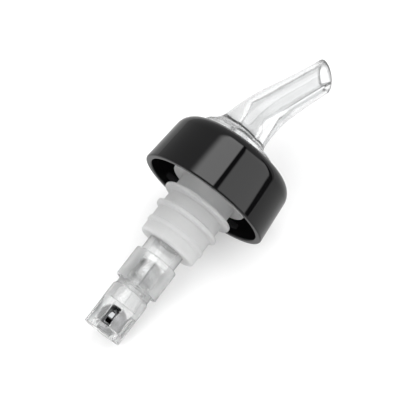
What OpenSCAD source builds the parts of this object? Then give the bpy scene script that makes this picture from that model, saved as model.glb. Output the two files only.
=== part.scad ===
// Measured pourer for a bottle: a clear leaning spout and a skirted collar on a finned stopper,
// with a metering tube below it in which one ball times the pour and another ball checks the flow.
// Origin: centre of the ring face that sits on the bottle's rim.
// +Z points up to the spout, and +X is the way the spout leans.

/* [Balls] */
// Diameter of both steel balls
ball_d = 7.94; // [7:0.01:9]
// Radial room between the cut-off ball and the metering bore
ball_play = 0.18; // [0.12:0.01:0.3]
// Radial room between the check ball and the cage
cage_play = 0.38; // [0.25:0.01:0.5]
// Gap left between a ball and the edge that it rests on
rest_gap = 0.08; // [0.05:0.01:0.12]
// Travel of the cut-off ball, which sets the measure
cutoff_travel = 6; // [4:0.1:8]
// Diameter of the two round holes that the balls close
seat_hole_d = 5; // [4:0.1:6]

/* [Collar] */
// Outside diameter of the collar at its rim
collar_d = 38; // [34:0.1:44]
// Height of the collar
collar_h = 16.5; // [14:0.1:20]
// Wall of the collar
collar_wall = 1.8; // [1.2:0.1:2.4]
// Angle by which the skirt narrows towards the top
collar_draft = 4.5; // [2:0.1:7]
// Radius of the rounded shoulder
shoulder_r = 4.5; // [3.5:0.1:6]
// How far the rim hangs below the bottle seat
collar_drop = 2.4; // [1:0.1:4]
// Chamfer on both edges of the rim
rim_edge = 0.35; // [0.1:0.05:0.6]
// Radial room between the collar's hole and the spout
collar_gap = 0.1; // [0.05:0.01:0.2]

/* [Stopper] */
// Diameter of the flange that sits on the bottle's rim
flange_d = 23; // [21:0.1:25]
// Thickness of the flange
flange_t = 1.6; // [1:0.1:2.2]
// Diameter of the neck above the flange
neck_d = 15; // [13:0.1:17]
// Diameter of the plug between its fins
plug_d = 16.7; // [15.5:0.1:17]
// Length of the plug below the bottle seat
plug_len = 18.5; // [17:0.1:22]
// Chamfer on the plug's lower edge
plug_edge = 0.6; // [0.2:0.1:1]
// Diameter of the upper fin
upper_fin_d = 20.8; // [19.5:0.1:22]
// Diameter of the middle fin
middle_fin_d = 19; // [18:0.1:20.5]
// Diameter of the lower fin
lower_fin_d = 17.4; // [17.2:0.1:19]
// Thickness of a fin at its root
fin_root_t = 1.6; // [1.2:0.1:2]
// Thickness of a fin at its tip
fin_tip_t = 1; // [0.6:0.1:1.2]
// Depth of the upper fin below the bottle seat
fin_depth = 4.7; // [3.5:0.1:5.5]
// Distance from fin to fin
fin_pitch = 4.95; // [4:0.05:5.5]

/* [Pour tube] */
// Wall of the pour tube
tube_wall = 1.1; // [0.9:0.05:1.4]
// Depth of the tube's top end below the bottle seat
tube_depth = 4; // [3.5:0.1:6]
// Length of tube that shows between the stopper and the sleeve
stem_show = 4.1; // [3:0.1:6]
// Radial step down to the thinner tail of the tube
tail_step = 0.25; // [0.15:0.05:0.35]
// Length of tube that shows between the sleeve and the cage
tail_show = 1.7; // [1:0.1:3]
// Diameter of the four inlet ports behind the sleeve
port_d = 2.2; // [1.6:0.1:2.6]
// Gap between the sleeve's grip and the ports
port_drop = 0.3; // [0.1:0.1:1]
// Radial clearance of parts that are pressed together
press_gap = 0.03; // [0.02:0.01:0.05]

/* [Vent] */
// Diameter of the vent bore in the spout's stem
vent_d = 1.1; // [0.8:0.05:1.2]
// Distance from the axis to the vent bore
vent_shift = 1.95; // [1.8:0.05:2]
// Width of the vent groove along the stem
groove_w = 1.4; // [1:0.1:2]
// Depth of the vent groove
groove_depth = 0.55; // [0.3:0.05:0.7]
// Length of groove that shows below the stopper
groove_show = 2.2; // [1:0.1:2.8]

/* [Shield sleeve] */
// Length of the sleeve
sleeve_len = 9.1; // [8:0.1:11]
// Wall of the sleeve
sleeve_wall = 0.75; // [0.6:0.05:1]
// Width of the ring-shaped inlet between the sleeve and the tube
inlet_gap = 0.55; // [0.4:0.05:0.8]
// Length of the sleeve's grip on the tube
grip_len = 1.8; // [1.2:0.1:2.4]
// Chamfer on the sleeve's outer edges
sleeve_edge = 0.35; // [0.2:0.05:0.6]

/* [Metering disc] */
// Gap between the two balls when both rest on the disc
ball_apart = 0.2; // [0.1:0.05:0.5]
// Height of the disc's upper face above the sleeve's lower end
disc_inset = 1.4; // [0.8:0.1:2]
// Width of the two bleed grooves in the disc's lower face
bleed_w = 0.8; // [0.5:0.1:1.2]
// Depth of the bleed grooves
bleed_depth = 0.5; // [0.3:0.1:0.8]
// Length of a bleed groove beyond the hole
bleed_len = 1; // [0.6:0.1:1.2]

/* [Tail cage] */
// Length of the cage
cage_len = 12.8; // [12:0.1:16]
// Wall of the cage's socket
socket_wall = 0.7; // [0.55:0.05:0.9]
// Wall of the tube's tongue inside that socket
tongue_wall = 0.57; // [0.5:0.01:0.65]
// Length of the socket
socket_len = 4.2; // [3:0.1:5]
// Length of the taper at the cage's top
cage_taper = 0.7; // [0.4:0.1:1]
// Number of slots
slot_count = 5; // [3:1:6]
// Width of a slot
slot_w = 2.7; // [2:0.1:3.2]
// Length of a slot, open at the lower end
slot_len = 7.3; // [6:0.1:8]
// Direction of the first slot around the axis
slot_turn = 30; // [0:1:72]
// Thickness of the ring that keeps the check ball in
ring_t = 1.8; // [1.4:0.1:2.2]
// Inside diameter of that ring
ring_bore_d = 6.6; // [6:0.1:7]
// Width by which the ring overlaps the fingers
ring_bite = 0.25; // [0.15:0.05:0.5]

/* [Spout] */
// Diameter of the foot on the collar
foot_d = 23.2; // [21:0.1:25]
// Thickness of the foot
foot_t = 1.5; // [1:0.1:2.5]
// Distance of the foot's centre behind the axis
foot_shift = 1.3; // [0.5:0.1:2]
// Distance of the horn's centre behind the axis at the foot
horn_setback = 2.6; // [2:0.1:3.4]
// Diameter of the horn at the foot, without the flare
root_d = 15.2; // [14:0.1:17]
// Diameter of the horn at the lip
tip_d = 9; // [8.8:0.1:10]
// How quickly the horn thins out from the foot to the lip
taper_power = 1.8; // [1.2:0.1:2.4]
// Radius of the flare where the horn meets the foot
flare_r = 4.8; // [4:0.1:7]
// Radius of the bend along the horn's centre line
bend_r = 48; // [42:0.5:56]
// Angle by which the horn's end leans from the axis
lean = 21; // [18:0.5:25]
// Straight length from the bend to the middle of the lip
tip_len = 15.3; // [13:0.1:18]
// Slant of the lip past a square cut
lip_slant = 20; // [12:1:28]
// Diameter of the passage behind the lip
passage_d = 6.8; // [6.2:0.1:7]
// Distance of the passage from the horn's centre, towards the front
passage_shift = 0.2; // [0.1:0.05:0.4]
// Length of the passage, measured along its middle
passage_len = 22; // [20.5:0.1:23]
// Thickness of the wall between the liquid and the vent
septum_t = 0.5; // [0.4:0.05:0.7]
// Distance from the passage's middle to that wall
septum_at = 1.4; // [1.2:0.05:1.6]
// Diameter of the liquid bore in the spout's stem
liquid_d = 4.8; // [4.2:0.1:5]
// Distance of that bore behind the axis
liquid_shift = 2.1; // [1.9:0.05:2.3]

/* [Hidden] */
$fn = 96;
// Overshoot of a cut beyond the face that it opens
over = ball_d / 8;

// Radii that the fits share
ball_r = ball_d / 2;
seat_r = seat_hole_d / 2;
ring_r = ring_bore_d / 2;
bore_r = ball_r + ball_play;
tube_r = bore_r + tube_wall;
tail_r = tube_r - tail_step;
tongue_r = bore_r + tongue_wall;
socket_r = tongue_r + press_gap;
cage_r = socket_r + socket_wall;
cage_bore_r = ball_r + cage_play;
sleeve_in_r = tail_r + inlet_gap;
sleeve_r = sleeve_in_r + sleeve_wall;
plug_r = plug_d / 2;
vent_r = vent_d / 2;

// Heights of the tail, counted down from the bottle seat
plug_z = -plug_len;
sleeve_top_z = plug_z - stem_show;
grip_z = sleeve_top_z - grip_len;
sleeve_end_z = sleeve_top_z - sleeve_len;
disc_top_z = sleeve_end_z + disc_inset;
cage_top_z = sleeve_end_z - tail_show;
tongue_z = cage_top_z - socket_len;
cage_end_z = cage_top_z - cage_len;
slot_top_z = cage_end_z + slot_len;
ring_top_z = cage_end_z + ring_t;

// A ball's centre stands this far from the plane of the round edge that it rests on
function seat_height(edge_r) = sqrt(ball_r * ball_r - edge_r * edge_r) + rest_gap;
disc_t = ball_d + ball_apart - 2 * seat_height(seat_r);
disc_low_z = disc_top_z - disc_t;
cutoff_rest_z = disc_top_z + seat_height(seat_r);
outlet_z = cutoff_rest_z + cutoff_travel + seat_height(seat_r);
check_rest_z = ring_top_z + seat_height(ring_r);

// Heights of the collar
rim_z = -collar_drop;
collar_top_z = rim_z + collar_h;
collar_under_z = collar_top_z - collar_wall;

// Points of an arc in the plane of a profile
function arc(centre, r, from, to, steps) = [
    for (i = [0 : steps])
        let (a = from + (to - from) * i / steps)
        centre + r * [cos(a), sin(a)]
];

// Collar

shoulder_centre = [
    collar_d / 2 - (collar_h - shoulder_r) * tan(collar_draft) - shoulder_r / cos(collar_draft),
    collar_top_z - shoulder_r
];
collar_hole_r = tube_r + collar_gap;
rim_in_r = collar_d / 2 - collar_wall / cos(collar_draft);
shoulder_steps = 12;

module collar() {
    color("#17181a")
        rotate_extrude()
            polygon(concat(
                [
                    [rim_in_r + rim_edge, rim_z],
                    [collar_d / 2 - rim_edge, rim_z],
                    [collar_d / 2 - rim_edge * tan(collar_draft), rim_z + rim_edge]
                ],
                arc(shoulder_centre, shoulder_r, collar_draft, 90, shoulder_steps),
                [[collar_hole_r, collar_top_z], [collar_hole_r, collar_under_z]],
                arc(shoulder_centre, shoulder_r - collar_wall, 90, collar_draft, shoulder_steps),
                [[rim_in_r - rim_edge * tan(collar_draft), rim_z + rim_edge]]
            ));
}

// Stopper

fin_diameters = [upper_fin_d, middle_fin_d, lower_fin_d];

// Outline of the fin with index i, from its upper root to its lower root
function fin_outline(i) =
    let (z = -fin_depth - i * fin_pitch, r = fin_diameters[i] / 2)
    [
        [plug_r, z + fin_root_t / 2],
        [r, z + fin_tip_t / 2],
        [r, z - fin_tip_t / 2],
        [plug_r, z - fin_root_t / 2]
    ];

module stopper() {
    hole_r = tube_r + press_gap;
    color("#dfe1e0")
        rotate_extrude()
            polygon(concat(
                [
                    [hole_r, collar_under_z],
                    [neck_d / 2, collar_under_z],
                    [neck_d / 2, flange_t],
                    [flange_d / 2, flange_t],
                    [flange_d / 2, 0],
                    [plug_r, 0]
                ],
                [for (i = [0 : len(fin_diameters) - 1]) each fin_outline(i)],
                [
                    [plug_r, plug_z + plug_edge],
                    [plug_r - plug_edge, plug_z],
                    [hole_r, plug_z]
                ]
            ));
}

// Metering tube, its sleeve, disc and cage

// Groove for the vent along the front of the stem
module vent_groove(low_z, high_z) {
    translate([tube_r - groove_depth, -groove_w / 2, low_z])
        cube([groove_depth + over, groove_w, high_z - low_z]);
}

module pour_tube() {
    port_z = grip_z - port_drop - port_d / 2;
    color("#e4e6e5")
        difference() {
            rotate_extrude()
                polygon([
                    [bore_r, -tube_depth],
                    [tube_r, -tube_depth],
                    [tube_r, grip_z],
                    [tail_r, grip_z],
                    [tail_r, cage_top_z],
                    [tongue_r, cage_top_z],
                    [tongue_r, tongue_z],
                    [bore_r, tongue_z]
                ]);
            vent_groove(plug_z - groove_show, over - tube_depth);
            for (turn = [45, 135])
                translate([0, 0, port_z])
                    rotate([90, 0, turn])
                        cylinder(h = 2 * tube_r + 2 * over, d = port_d, center = true);
        }
}

module shield_sleeve() {
    grip_r = tube_r + press_gap;
    color("#dfe1e0")
        rotate_extrude()
            polygon([
                [grip_r, sleeve_top_z],
                [sleeve_r - sleeve_edge, sleeve_top_z],
                [sleeve_r, sleeve_top_z - sleeve_edge],
                [sleeve_r, sleeve_end_z + sleeve_edge],
                [sleeve_r - sleeve_edge, sleeve_end_z],
                [sleeve_in_r, sleeve_end_z],
                [sleeve_in_r, grip_z],
                [grip_r, grip_z]
            ]);
}

module metering_disc() {
    groove_span = 2 * (seat_r + bleed_len);
    color("#d4d7d6")
        difference() {
            translate([0, 0, disc_low_z])
                cylinder(h = disc_t, r = bore_r - press_gap);
            translate([0, 0, disc_low_z - over])
                cylinder(h = disc_t + 2 * over, r = seat_r);
            translate([-groove_span / 2, -bleed_w / 2, disc_low_z - over])
                cube([groove_span, bleed_w, bleed_depth + over]);
        }
}

module tail_cage() {
    color("#e4e6e5") {
        difference() {
            rotate_extrude()
                polygon([
                    [socket_r, cage_top_z],
                    [tail_r, cage_top_z],
                    [cage_r, cage_top_z - cage_taper],
                    [cage_r, cage_end_z],
                    [cage_bore_r, cage_end_z],
                    [cage_bore_r, tongue_z],
                    [socket_r, tongue_z]
                ]);
            for (i = [0 : slot_count - 1])
                rotate([0, 0, slot_turn + i * 360 / slot_count])
                    translate([0, -slot_w / 2, cage_end_z - over])
                        cube([cage_r + over, slot_w, slot_len + over]);
        }
        translate([0, 0, cage_end_z])
            difference() {
                cylinder(h = ring_t, r = cage_bore_r + ring_bite);
                translate([0, 0, -over])
                    cylinder(h = ring_t + 2 * over, r = ring_r);
            }
    }
}

module cutoff_ball() {
    color("#b9bcc0")
        translate([0, 0, cutoff_rest_z])
            sphere(d = ball_d);
}

module check_ball() {
    color("#b9bcc0")
        translate([0, 0, check_rest_z])
            sphere(d = ball_d);
}

// Spout

// The horn's centre line rises from the foot, bends towards +X and ends in a straight tip
foot_top_z = collar_top_z + foot_t;
bend_len = bend_r * lean * PI / 180;
horn_len = bend_len + tip_len;

function horn_tilt(s) = min(s, bend_len) / bend_r * 180 / PI;
function horn_centre(s) =
    let (a = horn_tilt(s), straight = max(s - bend_len, 0))
    [
        bend_r * (1 - cos(a)) - horn_setback + straight * sin(a),
        0,
        foot_top_z + bend_r * sin(a) + straight * cos(a)
    ];
function horn_flare(s) =
    s >= flare_r ? 0 : flare_r - sqrt(flare_r * flare_r - pow(flare_r - s, 2));
function horn_r(s) =
    tip_d / 2 + (root_d - tip_d) / 2 * pow(max(1 - s / horn_len, 0), taper_power) + horn_flare(s);

// Distance from the horn's centre to the edge of the foot, in direction t of a tilted ring
function foot_reach(centre_x, tilt, t) =
    let (
        a = cos(t) * cos(tilt),
        b = sin(t),
        c = centre_x + foot_shift,
        q = a * a + b * b
    )
    (-c * a + sqrt(c * c * a * a - q * (c * c - foot_d * foot_d / 4))) / q;

// One ring of the horn's skin, kept within the foot's outline while the flare lasts
ring_sides = 48;
function horn_ring(s, z_shift = 0) =
    let (centre = horn_centre(s), tilt = horn_tilt(s))
    [
        for (i = [0 : ring_sides - 1])
            let (
                t = 360 * i / ring_sides,
                r = s < flare_r ? min(horn_r(s), foot_reach(centre[0], tilt, t)) : horn_r(s)
            )
            centre + [r * cos(t) * cos(tilt), r * sin(t), z_shift - r * cos(t) * sin(tilt)]
    ];

// The last ring lies in the slanted plane of the lip
lip_centre = horn_centre(horn_len);
along = [sin(lean), 0, cos(lean)];
across = [cos(lean), 0, -sin(lean)];
lip_ring = [
    for (i = [0 : ring_sides - 1])
        let (t = 360 * i / ring_sides, r = tip_d / 2)
        lip_centre + r * cos(t) * (across - tan(lip_slant) * along) + [0, r * sin(t), 0]
];

// Places of the other rings: close together on the flare, then evenly spaced to below the lip
flare_steps = 8;
horn_steps = 9;
lip_room = tip_d * tan(lip_slant);
ring_places = concat(
    [for (i = [0 : flare_steps]) flare_r * (1 - cos(90 * i / flare_steps))],
    [for (i = [1 : horn_steps]) flare_r + (horn_len - lip_room - flare_r) * i / horn_steps]
);

module horn_skin() {
    rings = concat(
        [horn_ring(0, -foot_t)],
        [for (s = ring_places) horn_ring(s)],
        [lip_ring]
    );
    last = len(rings) - 1;
    n = ring_sides;
    polyhedron(
        points = [for (ring = rings) each ring],
        faces = concat(
            [[for (i = [0 : n - 1]) i]],
            [
                for (k = [0 : last - 1], i = [0 : n - 1])
                    let (j = (i + 1) % n)
                    each [
                        [k * n + i, (k + 1) * n + j, k * n + j],
                        [k * n + i, (k + 1) * n + i, (k + 1) * n + j]
                    ]
            ],
            [[for (i = [0 : n - 1]) last * n + n - 1 - i]]
        )
    );
}

// The passage runs in the lean of the tip, and a wall along it parts the vent from the liquid
passage_top = lip_centre + passage_shift * across;
passage_r = passage_d / 2;
passage_end = passage_top - passage_len * along;
septum_far = septum_at + septum_t;
vent_mid = (septum_far + passage_r) / 2;
vent_run = (passage_top[0] + vent_mid * across[0] - vent_shift) / along[0];
vent_end = passage_top + vent_mid * across - vent_run * along;

// Bore with the given lower end, from there to past the lip
module tip_bore(lower_end) {
    translate(passage_top)
        rotate([0, lean, 0])
            rotate_extrude()
                polygon(concat([[0, passage_d]], lower_end, [[passage_r, passage_d]]));
}

// Round end for the liquid and flat end for the vent
round_steps = 6;
liquid_end = arc([0, -passage_len], passage_r, -90, 0, round_steps);
vent_depth = vent_run + vent_d;
vent_floor = [[0, -vent_depth], [passage_r, -vent_depth]];

// Block on one side of the wall between the liquid and the vent
module septum_side(from_x, to_x) {
    translate(passage_top)
        rotate([0, lean, 0])
            translate([from_x, -passage_d, -2 * passage_len])
                cube([to_x - from_x, 2 * passage_d, 4 * passage_len]);
}

module liquid_way() {
    stem_joint_z = over - tube_depth;
    intersection() {
        tip_bore(liquid_end);
        septum_side(-passage_d, septum_at);
    }
    translate([-liquid_shift, 0, stem_joint_z])
        cylinder(h = passage_end[2] - stem_joint_z, d = liquid_d);
    translate([0, 0, outlet_z - over])
        cylinder(h = stem_joint_z + over - outlet_z + over, r = seat_r);
}

module vent_way() {
    vent_low_z = 2 * over + vent_d - tube_depth;
    intersection() {
        tip_bore(vent_floor);
        septum_side(septum_far, passage_d);
    }
    translate([vent_shift, 0, vent_low_z])
        cylinder(h = vent_end[2] - vent_low_z, r = vent_r);
    translate([vent_shift, 0, vent_low_z + vent_r])
        rotate([0, 90, 0])
            cylinder(h = tube_r + over - vent_shift, r = vent_r);
    vent_groove(-tube_depth - over, vent_low_z + vent_r);
}

module spout() {
    color("#eef1f2", 0.5)
        difference() {
            union() {
                horn_skin();
                translate([0, 0, -tube_depth])
                    cylinder(h = collar_top_z + tube_depth + foot_t / 2, r = tube_r);
                translate([0, 0, outlet_z])
                    cylinder(h = over - tube_depth - outlet_z, r = bore_r - press_gap);
            }
            liquid_way();
            vent_way();
        }
}

spout();
collar();
stopper();
pour_tube();
shield_sleeve();
metering_disc();
tail_cage();
cutoff_ball();
check_ball();
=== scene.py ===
"""Measured pourer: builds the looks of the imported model, its stage and its camera."""

import math
from itertools import product

import bmesh
import bpy
from mathutils import Matrix, Vector
from mathutils.geometry import tessellate_polygon


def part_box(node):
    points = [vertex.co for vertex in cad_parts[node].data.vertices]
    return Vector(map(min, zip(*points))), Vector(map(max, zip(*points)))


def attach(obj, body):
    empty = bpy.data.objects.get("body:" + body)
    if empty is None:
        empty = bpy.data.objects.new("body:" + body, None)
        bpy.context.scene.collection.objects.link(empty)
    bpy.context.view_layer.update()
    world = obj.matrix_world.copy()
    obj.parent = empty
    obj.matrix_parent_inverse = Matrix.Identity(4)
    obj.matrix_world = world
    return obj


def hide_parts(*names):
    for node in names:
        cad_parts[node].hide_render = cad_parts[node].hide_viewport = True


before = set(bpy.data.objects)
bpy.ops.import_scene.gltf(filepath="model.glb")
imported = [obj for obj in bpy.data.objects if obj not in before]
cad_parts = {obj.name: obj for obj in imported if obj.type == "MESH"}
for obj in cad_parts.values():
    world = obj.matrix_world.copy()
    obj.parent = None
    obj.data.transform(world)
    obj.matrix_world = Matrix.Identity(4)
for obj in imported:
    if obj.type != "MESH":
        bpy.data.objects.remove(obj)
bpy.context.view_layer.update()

bl_info = {
    "name": "Measured Pourer",
    "version": (1, 0, 0),
    "blender": (4, 5, 0),
    "location": "View3D > Sidebar > Pourer",
    "description": "Builds a measured pourer with its balls, materials and stage",
    "category": "Object",
}

MM = 0.001
FULL_TURN = 2 * math.pi
BOX = {name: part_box(name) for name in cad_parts}

# Facets round a piece, and across a slot or half a finger of the cage
SIDES = 128
COLLAR_SIDES = 192
STOPPER_SIDES = 160
VENT_SIDES = 48
BALL_SIDES = 96
PORT_SIDES = 32
FINGER_SIDES = 6

# Steps along roundings, the spout's skin and passages, and the softboxes
EDGE_STEPS = 5
SHOULDER_STEPS = 12
TUBE_EDGE_STEPS = 3
SKIN_STEPS = 56
BEND_STEPS = 10
PASSAGE_STEPS = 14
VENT_STEPS = 12
PANEL_STEPS = 24

# Roundings of the lip's outer edge, as shares down and inwards, and of its bore, down and outwards
LIP_ROUNDING = ((0.0, 1.0), (0.07, 0.62), (0.29, 0.29), (0.62, 0.07), (1.0, 0.0))
BORE_ROUNDING = ((0.5, 0.13), (0.13, 0.5), (0.0, 1.0))

# Edges are shaded sharp past these angles, in degrees
SHARP = 35
SHARP_SPOUT = 40
SHARP_ROUNDED = 50
# The cage's edges are bevelled past this angle
BEVEL_ANGLE = 40

# Points nearer than this are one point
WELD = 1e-7
SEAM = 1e-6

# Share of the lip's roughness on the lip, in the bores and on the foot
FROST_LIP = 1.0
FROST_BORE = 0.22
FROST_FOOT = 0.55
# Frost past which the clear plastic turns to the lip's tone
FROST_TONE = 0.6
# Height over the foot at which its frost ends, as a share of the flare's radius
FROST_FADE = 1.4

# The picture's side and the place of the rim's middle from the picture's middle, in pixels
PICTURE_SIDE = 400
RIM_RIGHT = 2.5
RIM_UP = -0.6
# Width of the camera's sensor in millimetres
SENSOR_WIDTH = 36

# Half the floor's side, and the aim and distances of the lamps, softboxes and cards, in metres
FLOOR_HALF = 0.3
LAMP_AIM = Vector((0, 0, 0.002))
LAMP_DISTANCE = 0.7
CARD_DISTANCE = 0.73


def node_radius(node):
    """Radius of a round node, from the width of its box."""
    low, high = BOX[node]
    return (high.y - low.y) / 2


# Meshes


def link_object(name, data):
    """New object at the origin."""
    obj = bpy.data.objects.new(name, data)
    bpy.context.collection.objects.link(obj)
    return obj


def aim_object(obj, x_axis, y_axis, z_axis, place):
    """Turns an object to the given axes and moves it to its place."""
    turned = Matrix((x_axis, y_axis, z_axis)).transposed().to_4x4()
    obj.matrix_world = Matrix.Translation(place) @ turned


def mesh_object(name, verts, faces, **values):
    """Object made of points and faces, with named values at its points."""
    mesh = bpy.data.meshes.new(name)
    mesh.from_pydata([tuple(v) for v in verts], [], faces)
    for label, numbers in values.items():
        mesh.attributes.new(label, "FLOAT", "POINT").data.foreach_set("value", numbers)
    return link_object(name, mesh)


def closed_object(name, verts, faces, sharp=SHARP, **values):
    """Mesh object with outward faces, smooth except at sharp edges."""
    obj = mesh_object(name, verts, faces, **values)
    close_mesh(obj.data, sharp)
    return obj


def close_mesh(mesh, sharp):
    """Joins doubled points, turns all faces outward and sets the shading."""
    bm = bmesh.new()
    bm.from_mesh(mesh)
    bmesh.ops.remove_doubles(bm, verts=bm.verts, dist=WELD)
    bmesh.ops.dissolve_degenerate(bm, edges=bm.edges, dist=WELD / 10)
    bmesh.ops.recalc_face_normals(bm, faces=bm.faces)
    bm.to_mesh(mesh)
    bm.free()
    mesh.shade_smooth()
    mesh.set_sharp_from_angle(angle=math.radians(sharp))
    mesh.update()


def bake_modifiers(obj, sharp=SHARP):
    """Replaces the object's mesh with its evaluated one and removes the modifiers."""
    depsgraph = bpy.context.evaluated_depsgraph_get()
    mesh = bpy.data.meshes.new_from_object(obj.evaluated_get(depsgraph))
    if not mesh.polygons:
        raise RuntimeError(f"{obj.name} has no faces after its modifiers")
    obj.modifiers.clear()
    old = obj.data
    obj.data = mesh
    bpy.data.meshes.remove(old)
    close_mesh(mesh, sharp)


def rounded(corners, steps=EDGE_STEPS):
    """Closed profile from corners (r, z, rounding), each rounded by its own radius."""
    most_of_edge = 0.48
    nearly_straight = math.radians(89)
    points = [Vector(corner[:2]) for corner in corners]
    profile = []
    for i, corner in enumerate(corners):
        here = points[i]
        to_before = points[i - 1] - here
        to_after = points[(i + 1) % len(points)] - here
        u, v = to_before.normalized(), to_after.normalized()
        half = u.angle(v) / 2
        if corner[2] <= 0 or half > nearly_straight:
            profile.append(here)
            continue
        room = most_of_edge * min(to_before.length, to_after.length)
        reach = min(corner[2] / math.tan(half), room)
        radius = reach * math.tan(half)
        centre = here + (u + v).normalized() * (radius / math.sin(half))
        first = here + u * reach - centre
        last = here + v * reach - centre
        start = math.atan2(first.y, first.x)
        turn = math.atan2(last.y, last.x) - start
        turn = (turn + math.pi) % FULL_TURN - math.pi
        for k in range(steps + 1):
            t = start + turn * k / steps
            profile.append(centre + radius * Vector((math.cos(t), math.sin(t))))
    return profile


def ring(sides, place):
    """Closed ring of points, each placed by its angle."""
    return [place(FULL_TURN * k / sides) for k in range(sides)]


def polar(r, t):
    """The two coordinates of a point at radius r and angle t."""
    return r * math.cos(t), r * math.sin(t)


def level_ring(x, r, height, sides):
    """Level circle round x."""
    return ring(sides, lambda t: Vector((x + r * math.cos(t), r * math.sin(t), height)))


def loft_faces(rings, sides, closed, first=0):
    """Faces between rings of equal numbers of points."""
    faces = []
    for i in range(rings if closed else rings - 1):
        low = first + i * sides
        high = first + (i + 1) % rings * sides
        for k in range(sides):
            m = (k + 1) % sides
            faces.append((low + k, low + m, high + m, high + k))
    return faces


def lathe(name, profile, sides=SIDES, sharp=SHARP):
    """Closed profile of (r, z) turned round the Z axis."""
    verts = [point for r, z in profile for point in level_ring(0.0, r, z, sides)]
    return closed_object(name, verts, loft_faces(len(profile), sides, True), sharp)


def smooth_min(a, b, blend):
    """Lower of two values, with the corner between them rounded off."""
    h = max(blend - abs(a - b), 0) / blend
    return min(a, b) - h * h * blend / 4


def smooth_step(x):
    """Even rise from 0 to 1."""
    x = min(max(x, 0), 1)
    return x * x * (3 - 2 * x)


# Node trees


class Graph:
    """Short calls for building a node tree."""

    def __init__(self, tree):
        self.tree = tree

    def node(self, kind, inputs=None, **settings):
        """Adds a node; an input's value is a constant or another node's output."""
        node = self.tree.nodes.new(kind)
        for key, value in settings.items():
            setattr(node, key, value)
        for key, value in (inputs or {}).items():
            self.feed(value, node.inputs[key])
        return node

    def feed(self, value, socket):
        """Sets an input to a constant or links it to another node's output."""
        if isinstance(value, bpy.types.NodeSocket):
            self.tree.links.new(value, socket)
        else:
            socket.default_value = value

    def find(self, kind):
        """The tree's own node of one type."""
        return next(node for node in self.tree.nodes if node.type == kind)

    def math(self, operation, a, b):
        """Result of a sum or product of two values."""
        return self.node("ShaderNodeMath", {0: a, 1: b}, operation=operation).outputs[0]

    def ramp(self, value, low, high, to_low, to_high):
        """Value moved from one range to another, held at its ends."""
        return self.node("ShaderNodeMapRange", {
            "Value": value, "From Min": low, "From Max": high,
            "To Min": to_low, "To Max": to_high,
        }).outputs["Result"]

    def between(self, mask, low, high):
        """Value that goes from low to high with a mask."""
        return self.ramp(mask, 0.0, 1.0, low, high)

    def tint(self, factor, low, high):
        """Colour between two, each given as three numbers or as another node's output."""
        ends = [
            end if isinstance(end, bpy.types.NodeSocket) else (*end, 1.0) for end in (low, high)
        ]
        return self.node("ShaderNodeMix", {
            "Factor": factor, "A": ends[0], "B": ends[1],
        }, data_type="RGBA").outputs["Result"]

    def object_place(self):
        """Object coordinates."""
        return self.node("ShaderNodeTexCoord").outputs["Object"]

    def attribute(self, name):
        """Value that the mesh holds at its points."""
        return self.node("ShaderNodeAttribute", attribute_name=name).outputs["Fac"]

    def group(self, tree, values):
        """Outputs of a shared group, with its inputs' values in order."""
        return self.node("ShaderNodeGroup", dict(enumerate(values)), node_tree=tree).outputs

    def noise(self, place, scale, detail, roughness=0.5, distortion=0.0):
        """Noise from 0 to 1."""
        return self.node("ShaderNodeTexNoise", {
            "Vector": place, "Scale": scale, "Detail": detail, "Roughness": roughness,
            "Distortion": distortion,
        }).outputs["Fac"]

    def vector(self, **parts):
        """Vector made of its X, Y and Z."""
        return self.node("ShaderNodeCombineXYZ", parts).outputs[0]


def make_group(name, tree_kind, inputs, outputs):
    """Empty node group: its graph, the sockets of its inputs and those of its outputs."""
    tree = bpy.data.node_groups.new(name, tree_kind)
    for in_out, sockets in (("INPUT", inputs), ("OUTPUT", outputs)):
        for label, kind in sockets.items():
            tree.interface.new_socket(label, in_out=in_out, socket_type="NodeSocket" + kind)
    graph = Graph(tree)
    return graph, graph.node("NodeGroupInput").outputs, graph.node("NodeGroupOutput").inputs


# Materials


def moulded_group():
    """Unevenness of a moulded surface: slow waves with fine grain, and a faint mottle."""
    name = "Moulded Surface"
    if name in bpy.data.node_groups:
        return bpy.data.node_groups[name]
    graph, source, sink = make_group(
        name, "ShaderNodeTree",
        {"Wave Scale": "Float", "Grain Scale": "Float", "Grain": "Float"},
        {"Height": "Float", "Mottle": "Float"},
    )
    place = graph.object_place()
    waves = graph.noise(place, source["Wave Scale"], detail=2.0)
    grain = graph.noise(place, source["Grain Scale"], detail=3.0, roughness=0.6)
    fine = graph.math("MULTIPLY", grain, source["Grain"])
    graph.feed(graph.math("ADD", waves, fine), sink["Height"])
    cloud_scale = graph.math("MULTIPLY", source["Wave Scale"], 0.7)
    clouds = graph.noise(place, cloud_scale, detail=4.0, roughness=0.55)
    graph.feed(graph.ramp(clouds, 0.3, 0.7, 0.0, 1.0), sink["Mottle"])
    return graph.tree


def marks_group():
    """Marks of handling: soft smudges and short fine scratches."""
    name = "Handling Marks"
    if name in bpy.data.node_groups:
        return bpy.data.node_groups[name]
    graph, source, sink = make_group(
        name, "ShaderNodeTree", {"Smudge Scale": "Float", "Scratch Scale": "Float"},
        {"Smudge": "Float", "Scratch": "Float"},
    )
    place = graph.object_place()
    smudge = graph.noise(
        place, source["Smudge Scale"], detail=5.0, roughness=0.62, distortion=0.4
    )
    graph.feed(graph.ramp(smudge, 0.42, 0.7, 0.0, 1.0), sink["Smudge"])
    squeezed = graph.node("ShaderNodeMapping", {
        "Vector": place, "Scale": (1.0, 1.0, 0.06), "Rotation": (0.5, 0.35, 0.0),
    }).outputs["Vector"]
    scratch = graph.noise(squeezed, source["Scratch Scale"], detail=2.0)
    graph.feed(graph.ramp(scratch, 0.62, 0.72, 0.0, 1.0), sink["Scratch"])
    return graph.tree


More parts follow.
